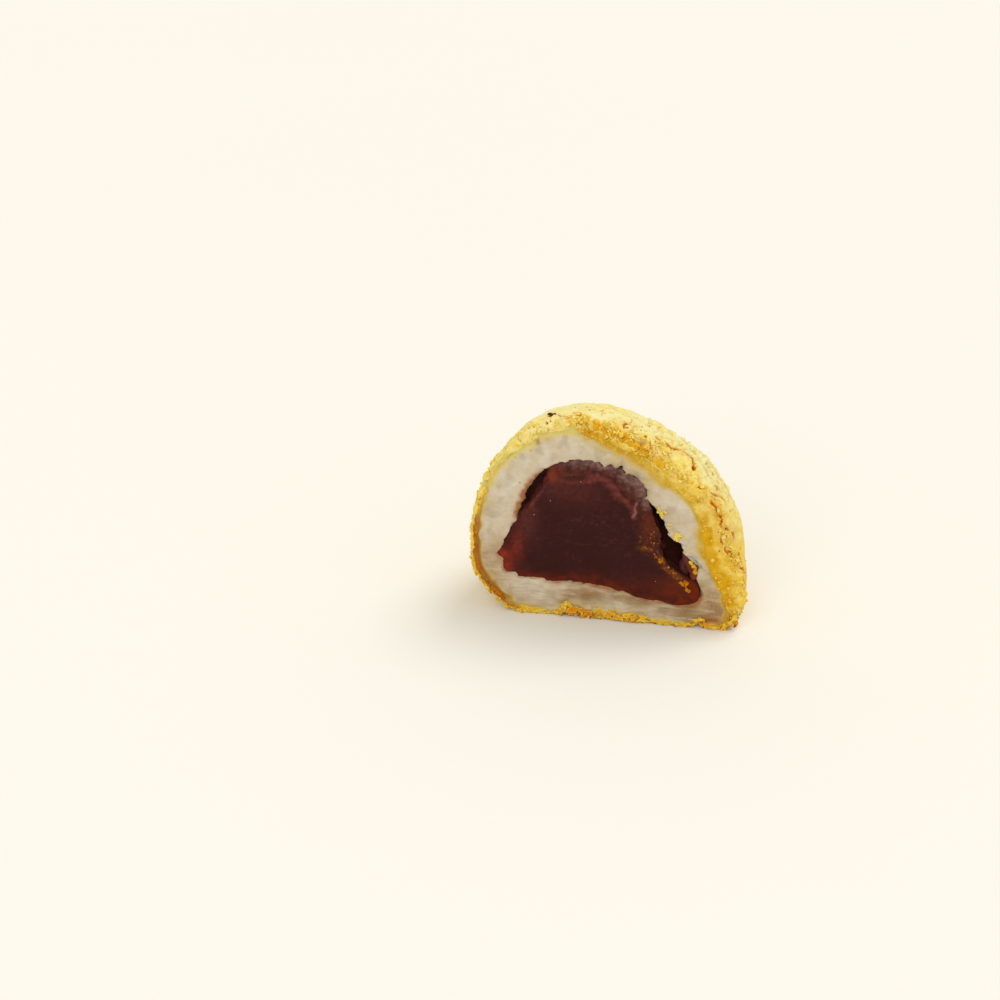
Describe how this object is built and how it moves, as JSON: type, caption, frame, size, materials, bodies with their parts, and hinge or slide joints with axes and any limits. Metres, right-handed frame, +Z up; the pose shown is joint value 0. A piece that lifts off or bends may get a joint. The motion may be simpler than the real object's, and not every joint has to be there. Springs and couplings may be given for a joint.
{
  "type": "halved kinako ohagi",
  "caption": "Half of a domed rice sweet lying cut side out: a roasted soybean flour coat round glutinous rice round a core of sweet red bean paste.",
  "frame": {"origin": "middle of the footprint, on the surface the half rests on", "axes": "+Z up, +X along the cut face towards its sloping shoulder, -Y out of the flat cut face"},
  "size_m": [0.0594, 0.0316, 0.0468],
  "materials": {
    "kinako_coat": "dry, powdery roasted soybean flour, fully matte, paler where it lies loose",
    "rice": "half-pounded glutinous rice, translucent greyish white, moist satin",
    "anko": "smooth dark maroon sweet bean paste, knife-cut satin sheen"
  },
  "bodies": {
    "root": {"kinako_coat": "kinako_coat", "rice": "rice", "anko": "anko"}
  },
  "joints": []
}
